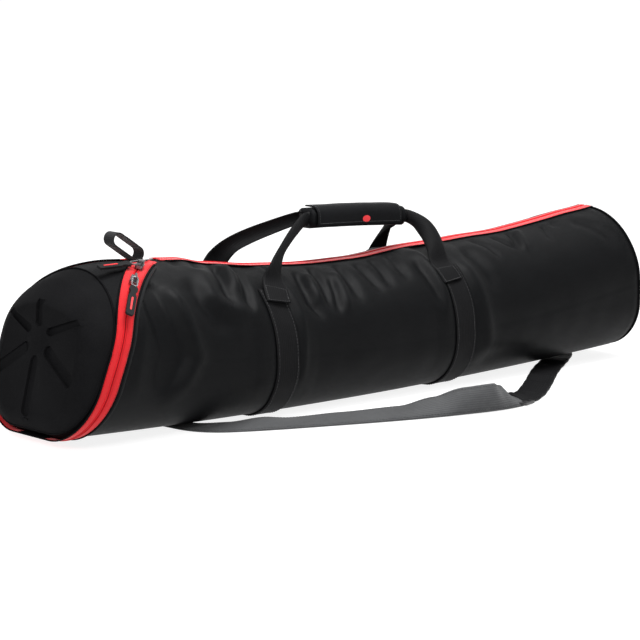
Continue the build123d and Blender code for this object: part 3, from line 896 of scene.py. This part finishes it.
def strip(name, frames, width, thickness, bow, material, *belongs):
    """A flat strip along frames; belongs is its body, its slot and any CAD nodes it stands for."""
    place(sweep(name, frames, [strip_profile(width, thickness, bow)] * len(frames), material), *belongs)


def ring_strip(name, first, last, steps, centre, height, *rest):
    strip(name, ring_frames(first, last, steps, centre, height), *rest)


fine = 2
ring_strip("ring_tape_body", 4, 356, 150 * fine, tape_centre + 0.1, 0.9, tape_width, 1.1, 0.25,
           zip_red, "bag", "red_tape", "ring_zip_tape_body")
ring_strip("ring_tape_lid", 9, 351, 150 * fine, -tape_centre - 0.1, 0.9, tape_width, 1.1, 0.25,
           zip_red, "end_cap", "red_tape", "ring_zip_tape_lid")


def coil(name, lines, body, replaced):
    """The covered coil along the zip's edge, as a low bead with a fine rib."""
    verts = []
    faces = []
    uv = []
    for line in lines:
        start = len(verts)
        run = 0.0
        profile = [(-1.15, 0), (-0.9, 1.0), (0, 1.45), (0.9, 1.0), (1.15, 0)]
        for i, (p, side, up) in enumerate(line):
            if i:
                run += (p - line[i - 1][0]).length
            swell = 0.16 * (i % 2)
            for k, (a, b) in enumerate(profile):
                verts.append(p + side * a + up * (b + swell))
                uv.append((k * 0.7, run))
        for i in range(len(line) - 1):
            for k in range(4):
                a = start + i * 5 + k
                faces.append((a, a + 1, a + 6, a + 5))
    piece = finish_mesh(name, verts, faces, coil_red, uv)
    place(piece, body, "zip_teeth", replaced)
    return piece


coil_steps = 420
coil("ring_coil_body", [ring_frames(3, 176, coil_steps, teeth_centre, 1.2),
                        ring_frames(184, 357, coil_steps, teeth_centre, 1.2)], "bag", "ring_zip_teeth_body")
coil("ring_coil_lid", [ring_frames(6, 160, coil_steps, -teeth_centre, 1.2),
                       ring_frames(200, 354, coil_steps, -teeth_centre, 1.2)],
     "end_cap", "ring_zip_teeth_lid")

slit_dark = cloth("slit_dark", (0.10, 0.008, 0.010), (0.16, 0.010, 0.014), 0.0008, 0.0001, 0.8)
ring_strip("ring_slit_shadow", 4, 356, 150 * fine, 0.4, 0.7, 2.4, 0.5, 0.0, slit_dark, "bag", "zip_teeth")

ring_strip("ring_piping_bead", 10, 350, 150 * fine, 14.0, 1.3, 2.8, 2.4, 0.5, binding_black, "bag",
           "black_binding", "ring_piping")
# the grey hem strip beside the piping is a painted highlight along the ring
ring_strip("ring_hem", 12, 348, 150 * fine, 17.6, 0.9, 4.2, 1.0, 0.5, hem_painted_highlight, "bag", "body_fabric")
ring_strip("ring_lid_seam", 12, 348, 150 * fine, -13.6, 0.9, 2.0, 1.6, 0.4, binding_black,
           "end_cap", "black_binding")


def lines_of(frames):
    return [(p, up) for p, _, up in frames]


place(thread("ring_body_stitches", [lines_of(ring_frames(8, 352, 240, 11.0, 1.5)),
             lines_of(ring_frames(13, 347, 240, 18.6, 1.4))], thread_red, 4.0, 2.8, 0.3), "bag", "red_tape")
place(thread("ring_lid_stitches", [lines_of(ring_frames(12, 348, 240, -11.2, 1.5))], thread_red, 4.0,
             2.8, 0.3), "end_cap", "red_tape")

# the hinge, where the fabric of cap and tube runs through under the ring
ring_strip("hinge_fabric", 167, 193, 30, 0.0, 0.5, 30.0, 0.9, 0.0, binding_black, "bag",
           "body_fabric", "end_cap_hinge_fold")

# ---- the long zip on the top line

zip_tip_x = ring_point(0.01)[0].x


def top_frames(y, height, x_from, x_to, steps):
    frames = []
    for i in range(steps + 1):
        x = x_from + (x_to - x_from) * i / steps
        angle = y / bag_radius * 180 / pi
        p = settle(top_point(x, angle)) + top_normal(x, angle) * height
        q = settle(top_point(x + 1, angle)) + top_normal(x, angle) * height
        along = (q - p).normalized()
        n = top_normal(x, angle)
        up = (n - along * n.dot(along)).normalized()
        frames.append((p, up.cross(along), up))
    return frames


for side_name, side in (("near", -1), ("far", 1)):
    strip(f"long_tape_{side_name}", top_frames(side * tape_centre, 1.0, zip_tip_x + 7, long_zip_end_x, 150),
          tape_width, 1.1, 0.25, long_zip_red_painted_light, "bag", "red_tape", f"long_zip_tape_{side_name}")
long_coils = [top_frames(y, 1.2, zip_tip_x + 3, long_zip_end_x - 6, coil_steps * 2) for y in (-1.35, 1.35)]
coil("long_zip_coil", long_coils, "bag", "long_zip_teeth")
long_edges = [lines_of(top_frames(y, 1.5, zip_tip_x + 12, long_zip_end_x - 3, 120)) for y in (-11.0, 11.0)]
place(thread("long_zip_stitches", long_edges, thread_red, 4.0, 2.8, 0.3), "bag", "red_tape")
for side_name, side in (("near", -1), ("far", 1)):
    frames = top_frames(side * 13.4, 0.9, zip_tip_x + 14, long_zip_end_x + 1, 140)
    seam_profiles = [strip_profile(1.8, 1.4, 0.3, 4)] * len(frames)
    place(sweep(f"long_seam_{side_name}", frames, seam_profiles, binding_black), "bag", "black_binding")

# ---- the end cap's soft gusset


def rim_drop(u):
    """How far the moulding's rim sits below the plain cap's, most at its top."""
    return cap_rim_drop * smooth(u / cap_half_height)


def rim_point(angle, out=0.0):
    """Point on the cap's rim that belongs to an angle of the ring."""
    down, side = down_and_side(angle)
    half = cap_half + out
    corner = bottom_corner + out
    top = cap_half_height + out
    if down <= 90:
        y, u = half * sin(radians(down)), top - half + half * cos(radians(down))
    else:
        straight = top - half + top - corner
        bend = corner * pi / 2
        flat = half - corner
        run = (down - 90) / 90 * (straight + bend + flat)
        if run < straight:
            y, u = half, top - half - run
        elif run < straight + bend:
            t = (run - straight) / corner
            y, u = flat + corner * cos(t), -top + corner - corner * sin(t)
        else:
            y, u = flat - (run - straight - bend), -top
    return cap_centre + cap_normal * cap_rim_offset + Vector((0, side * y, 0)) + cap_up * (u - rim_drop(u))


gusset_columns = 120 * fine
gusset_rows = 12


def gusset_at(i, j):
    """From the ring to the cap's rim, swelling and puckering a little between them."""
    t = i / gusset_rows
    angle = 360 * j / gusset_columns
    start, normal = ring_frames(angle, angle, 1, -1.0, 0.1)[0][0], ring_point(angle)[1]
    end = rim_point(angle, -0.6) - cap_normal * 1.5
    span = (end - start).length
    swell = sin(pi * t) * min(3.0, 0.05 * span)
    pucker = 0.5 * sin(angle * 1.9) * sin(pi * t) * min(1.0, span / 40)
    p = start.lerp(end, t) + normal * (swell + pucker)
    p.z = max(p.z, 0.3)
    return p, (angle * 2.0, t * span)


gusset = surface("cap_gusset", gusset_rows, gusset_columns, gusset_at, gusset_nylon)
place(gusset, "end_cap", "body_fabric", "end_cap_gusset", fill=0.5)

# The moulding draws in from its rim to its face, most of all at the top, and its grooves are pressed deep,
# with painted shade on their floors.
cap_top_taper = 31.0
cap_far_taper = 24.0
cap_near_taper = 9.0
cap_foot_taper = 7.0
cap_face_height = 46.0
groove_depth = 2.6
groove_extra = 2.0
groove_spread = 1.5
groove_reach = 9.0
lining_drop = 5.0
cap_face_normal = (cap_normal - cap_up * 0.143).normalized()


def draw_in(p):
    """Where a point of the plain cap sits on the tapered moulding."""
    off = p - cap_centre
    h, y, u = off.dot(cap_normal), off.y, off.dot(cap_up)
    share = max(0.0, (h - cap_rim_offset) / (cap_face_height - cap_rim_offset)) ** 1.35
    y -= (cap_far_taper if y > 0 else cap_near_taper) * share * y / cap_half
    u -= (cap_top_taper if u > 0 else cap_foot_taper) * share * u / cap_half_height + rim_drop(u)
    return cap_centre + cap_normal * h + Vector((0, y, 0)) + cap_up * u


def groove_at(p, half_width, inner, outer):
    """The groove that a point of the face lies in: its turn, and the distances along and across it."""
    off = p - cap_centre
    a, b = -off.y, off.dot(cap_up)
    for k in range(6):
        turn = radians(30 + 60 * k)
        u, v = a * cos(turn) + b * sin(turn), b * cos(turn) - a * sin(turn)
        if abs(v) < half_width and inner < u < outer:
            return turn, u, v
    return None


def widen_groove(p):
    """Spreads a groove's edges, and takes its inner end towards the hub."""
    groove = groove_at(p, 8.0, 27, 105)
    if groove is None:
        return p
    turn, u, v = groove
    spread = v * (groove_spread - 1)
    inward = -groove_reach * max(0.0, 1 - (u - 27) / 14)
    da = inward * cos(turn) - spread * sin(turn)
    db = inward * sin(turn) + spread * cos(turn)
    return p + Vector((0, -da, 0)) + cap_up * db


def tapered_copy(name, node, slot, materials, press):
    """A copy of a CAD node of the cap, drawn in; press deepens and widens the grooves and gives the faces at
    their floors the second material, which is painted shade.
    """
    mesh = nodes[node].data.copy()
    bm = bmesh.new()
    bm.from_mesh(mesh)
    bmesh.ops.remove_doubles(bm, verts=bm.verts, dist=0.00001)
    bm.verts.index_update()
    face_level = (cap_centre + cap_normal * cap_face_height).dot(cap_face_normal)
    pressed = set()
    for v in bm.verts:
        p = v.co / MM
        at_floor = abs(p.dot(cap_face_normal) - face_level + groove_depth) < 0.1
        if press and at_floor and groove_at(p, 6.4, 29, 103):
            p -= cap_face_normal * groove_extra
            pressed.add(v.index)
        if press and p.dot(cap_face_normal) > face_level - 6.0:
            p = widen_groove(p)
        if not press:
            p -= cap_normal * lining_drop * smooth(((p - cap_centre).dot(cap_normal) - cap_rim_offset) / 18)
        v.co = draw_in(p) * MM
    # faces touching a pressed groove floor take the second material, the painted groove shade
    for f in bm.faces:
        f.material_index = int(any(v.index in pressed for v in f.verts))
    bm.to_mesh(mesh)
    bm.free()
    mesh.polygons.foreach_set("use_smooth", [True] * len(mesh.polygons))
    mesh.set_sharp_from_angle(angle=radians(38))
    mesh.materials.clear()
    for material in materials:
        mesh.materials.append(material)
    piece = add_object(name, mesh)
    place(piece, "end_cap", slot, node)
    return piece


cap_shell = tapered_copy("cap_moulding", "end_cap_shell", "moulded_cap", (eva, groove_painted_shade), True)
soft_edges = cap_shell.modifiers.new("soft_edges", "BEVEL")
soft_edges.width = 0.0011
soft_edges.segments = 3
soft_edges.limit_method = "ANGLE"
soft_edges.angle_limit = radians(50)
tapered_copy("cap_lining_sheet", "end_cap_lining", "lining", (lining_nylon,), False)

cap_welt_frames = []
for j in range(180):
    p = rim_point(360 * j / 180, 0.2)
    q = rim_point(360 * (j + 1) / 180, 0.2)
    along = (q - p).normalized()
    outwards = along.cross(cap_normal).normalized()
    if outwards.dot(p - cap_centre) < 0:
        outwards = -outwards
    cap_welt_frames.append((p + cap_normal * 0.5, cap_normal, outwards))
cap_welt_profiles = [round_profile(3.0, 2.2, 1.0, 4)] * len(cap_welt_frames)
cap_welt = sweep("cap_rim_welt", cap_welt_frames, cap_welt_profiles, binding_black, True)
place(cap_welt, "end_cap", "black_binding")

# ---- webbing bands round the bag


def band(name, centre_x, node):
    """The webbing that runs under the bag, from one handle leg to the other."""
    top_angle = 30.0
    while skin_point(centre_x, top_angle)[0].z > band_top_z + 4:
        top_angle += 0.5
    steps = 70 * fine

    def band_at(i, k):
        angle = top_angle + (360 - 2 * top_angle) * i / steps
        x = centre_x + webbing_width * (k / 12 - 0.5)
        lift = 1.35 if 0 < k < 12 else 0.7
        return skin_point(x, angle, lift)[0], (k * webbing_width / 12, i * 620 / steps)

    piece = surface(name, steps, 12, band_at, webbing)
    thicken(piece, 0.0012)
    place(piece, "bag", "webbing", node)
    seams = []
    for x in (centre_x - 16, centre_x + 16):
        seam = []
        for i in range(100):
            angle = top_angle + 1 + (358 - 2 * top_angle) * i / 99
            seam.append(skin_point(x, angle, 2.7))
        seams.append(seam)
    place(thread(f"{name}_stitches", seams, thread_dark, 4.6, 3.2, 0.36), "bag", "webbing")


band("front_band_web", front_band_x, "front_band")
band("rear_band_web", rear_band_x, "rear_band")

# ---- carry handles

front_leg = [top_point(2, -52, 4.6), top_point(6, -44, 4.8), Vector((14, -66, 182)), Vector((24, -59, 199)),
             Vector((38, -50, 214)), Vector((60, -38, 226)), Vector((90, -22, 238)),
             Vector((119, -8.6, 247.4)), Vector((134, -8.6, 247))]
front_across = [(1, 0, 0), (1, 0, 0), (1, 0.1, -0.1), (1, 0.5, -0.3), (0.7, 0.7, -0.6), (0.3, 0.5, -1),
                (0.1, 0.2, -1), (0, 0, -1), (0, 0, -1)]
rear_leg = [top_point(324, -52, 4.6), top_point(322, -44, 4.8), Vector((321, -65, 177)),
            Vector((322, -57, 193)), Vector((323, -47, 208)), Vector((322, -35, 221)), Vector((318, -22, 231)),
            Vector((310, -9.6, 237.4)), Vector((297, -8.6, 238.5))]
rear_across = [(1, 0, 0), (1, 0, 0), (1, 0, 0), (1, -0.1, 0), (0.9, -0.4, 0), (0.7, -0.8, 0),
               (0.3, -0.6, 0.6), (0, 0, 1), (0, 0, 1)]
leg_widths = {"front": [38, 38, 37, 30, 24, 22, 20, 18.4, 18.4],
              "rear": [38, 38, 37, 32, 28, 25, 21, 18.4, 18.4]}


def sewn_point(spot, side, offset):
    """A point on a leg's outer face, and the way out of it."""
    centre, across, up = spot
    outward = up if up.y * side < 0 else -up
    return centre + across * offset + outward * 1.2, outward


for end_name, line, across in (("front", front_leg, front_across), ("rear", rear_leg, rear_across)):
    for side_name, side in (("near", 1), ("far", -1)):
        points = catmull([settle(Vector((p.x, side * p.y, p.z))) if i < 2 else Vector((p.x, side * p.y, p.z))
                          for i, p in enumerate(line)], 9)
        directions = catmull([Vector((a[0], side * a[1], a[2])) for a in across], 9)
        widths = catmull([float(w) for w in leg_widths[end_name]], 9)
        frames = line_frames(points, directions)
        profiles = []
        for i, width in enumerate(widths):
            fold = sqrt(max(0.0, (38.0**2 - width**2) * 3 / 16))
            share = i / (len(widths) - 1)
            outward = 1 if frames[i][2].dot(Vector((0, -side, 0.4))) > 0 else -1
            flatten = 1 - 0.75 * smooth((share - 0.72) / 0.28)
            bow = outward * min(5.5, fold * 0.55) * smooth(share * 2.2) * flatten
            profiles.append(strip_profile(width - 0.6, 2.3, bow, 10))
        leg = sweep(f"handle_leg_{end_name}_{side_name}_web", frames, profiles, webbing)
        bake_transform(leg)
        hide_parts(f"handle_leg_{end_name}_{side_name}")
        box_lines = [[sewn_point(spot, side, offset) for spot in frames[:13]]
                     for offset in (-stitch_inset, stitch_inset)]
        box_lines += [[sewn_point(frames[i], side, offset) for offset in (-15, -5, 5, 15)] for i in (1, 12)]
        place(thread(f"handle_leg_{end_name}_{side_name}_stitches", box_lines, thread_dark, 3.6, 2.6,
                     0.36), "bag", "webbing")

# ---- grip and its flap

grip_middle = Vector((215.5, 0, 243.0))
grip_along = Vector((1, 0, -0.055)).normalized()
grip_up = Vector((0.055, 0, 1)).normalized()
grip_side = Vector((0, 1, 0))
wrap_half = 88.5


def grip_frame(distance, sag=0.0):
    return grip_middle + grip_along * distance + grip_up * sag, grip_side, grip_up


frames = []
profiles = []
for i in range(61):
    d = -wrap_half + 2 * wrap_half * i / 60
    ends = min(1.0, (wrap_half - abs(d)) / 5 + 0.62)
    lump = 1 + 0.02 * noise.noise(Vector((d * 0.04, 2, 0)))
    frames.append(grip_frame(d, 1.2 * (1 - (d / wrap_half) ** 2)))
    profiles.append([(a * lump, b * lump) for a, b in round_profile(36 * (0.86 + 0.14 * ends), 27 * ends,
                                                                   min(11, 13 * ends), 7)])
wrap = sweep("grip_sleeve", frames, profiles, grip_cloth)
place(wrap, "carry_grip", "grip_fabric", "grip_wrap", fill=0.8)

# the flap: over the top and down the near side
flap_out = 2.0
flap_section = []
half_w, half_h, corner = 18 + flap_out, 13.5 + flap_out, 12.5
for i in range(5):
    flap_section.append((6.5 - (half_w - corner + 6.5) * i / 4, half_h))
for i in range(1, 9):
    t = radians(90 + 90 * i / 8)
    flap_section.append((-half_w + corner + corner * cos(t), half_h - corner + corner * sin(t)))
for i in range(1, 4):
    flap_section.append((-half_w, (half_h - corner) - 4.6 * i))
flap_start, flap_length = 8.5, 157.0
rows = []
uvs = []
flap_rows = 48
for i in range(flap_rows + 1):
    share = i / flap_rows
    d = -91.5 + flap_start + flap_length * share
    origin, side, up = grip_frame(d, 1.2 * (1 - (d / wrap_half) ** 2))
    row = []
    uv_row = []
    run = 0.0
    for k, (a, b) in enumerate(flap_section):
        if k:
            run += hypot(a - flap_section[k - 1][0], b - flap_section[k - 1][1])
        loose = 0.5 * noise.noise(Vector((d * 0.03, k * 0.2, 5)))
        near_hem = max(0.0, k / (len(flap_section) - 1) - 0.75)
        corner_lift = 0.7 * near_hem * 4 * smooth(abs(share - 0.5) * 2.2 - 0.2)
        row.append(origin + side * (a - corner_lift * (a < -15)) + up * (b + loose * (b > 8)))
        uv_row.append((run, d))
    rows.append(row)
    uvs.append(uv_row)
flap = grid("grip_flap_cover", rows, grip_cloth, uvs)
thicken(flap, 0.0018)
place(flap, "grip_flap", "grip_fabric", "grip_flap", fill=0.4)
flap_lines = []
for k in (1, len(flap_section) - 2):
    line = []
    for i in range(1, flap_rows):
        p = rows[i][k]
        outward = Vector((0, 0, 1)) if k == 1 else Vector((0, -1, 0))
        line.append((p + outward * 1.8, outward))
    flap_lines.append(line)
for i in (1, flap_rows - 1):
    line = []
    for k in range(1, len(flap_section) - 1):
        a, b = flap_section[k]
        outward = Vector((0, a + 6, b - 2)) if a > -half_w + 0.1 else Vector((0, -1, 0))
        outward = Vector((0, 0, 1)) if k < 4 else outward.normalized()
        line.append((rows[i][k] + outward * 1.8, outward))
    flap_lines.append(line)
place(thread("grip_flap_stitches", flap_lines, thread_dark, 3.4, 2.4, 0.32), "grip_flap", "grip_fabric")

# ---- CAD nodes that stay, with finished materials

kept = {
    "pull_loop": label_web, "pull_loop_label": label_web, "grip_core": foam_grey,
    "handle_strap_near": anchor_web, "handle_strap_far": anchor_web, "grip_button": red_trim,
    "lower_slider": gunmetal, "upper_slider": gunmetal,
    "lower_puller_link": gunmetal, "upper_puller_link": gunmetal,
    "lower_puller_tab": rubber, "upper_puller_tab": rubber, "lower_puller_inlay": red_trim,
    "upper_puller_inlay": red_trim, "strap_adjuster": plastic, "strap_anchor_front": anchor_web,
    "strap_anchor_rear": anchor_web,
}
for name, material in kept.items():
    for material_slot in nodes[name].material_slots:
        material_slot.material = material

# ---- floor, backdrop and lights

stage_rows = []
for i in range(41):
    t = i / 40
    if t < 0.6:
        across, height = -6 + 12 * t / 0.6, 0.0
    else:
        turn = min(1.0, (t - 0.6) / 0.2) * pi / 2
        across = 6 + 3 * sin(turn)
        height = 3 - 3 * cos(turn) + max(0.0, t - 0.8) * 30
    stage_rows.append([Vector((-14 + 28 * k / 8, across, height)) / MM for k in range(9)])
paper, paper_tree, paper_shader = new_material("backdrop_paper", (0.30, 0.30, 0.30), 0.9, specular=0.1)
paper_shader.inputs["Emission Color"].default_value = (1, 1, 1, 1)
paper_shader.inputs["Emission Strength"].default_value = 0.85
floor = grid("backdrop", stage_rows, paper)
turn_to_camera = -0.733
floor.rotation_euler = (0, 0, turn_to_camera)

bpy.context.scene.view_settings.view_transform = "Standard"

world = bpy.data.worlds.new("studio")
world.use_nodes = True
world.node_tree.nodes["Background"].inputs["Color"].default_value = (1, 1, 1, 1)
world.node_tree.nodes["Background"].inputs["Strength"].default_value = 0.32
bpy.context.scene.world = world


def area_light(name, location, target, size, power):
    data = bpy.data.lights.new(name, "AREA")
    data.size = size
    data.energy = power
    lamp = add_object(name, data)
    lamp.location = location
    lamp.rotation_euler = (Vector(target) - Vector(location)).to_track_quat("-Z", "Y").to_euler()


area_light("overhead", (0.3, -0.4, 2.6), (0.2, 0, 0.1), 1.3, 120)
area_light("key_left", (-2.4, -1.2, 1.5), (0.1, 0, 0.1), 0.8, 56)
area_light("fill_right", (2.2, -2.6, 1.1), (0.3, 0, 0.1), 1.8, 8)
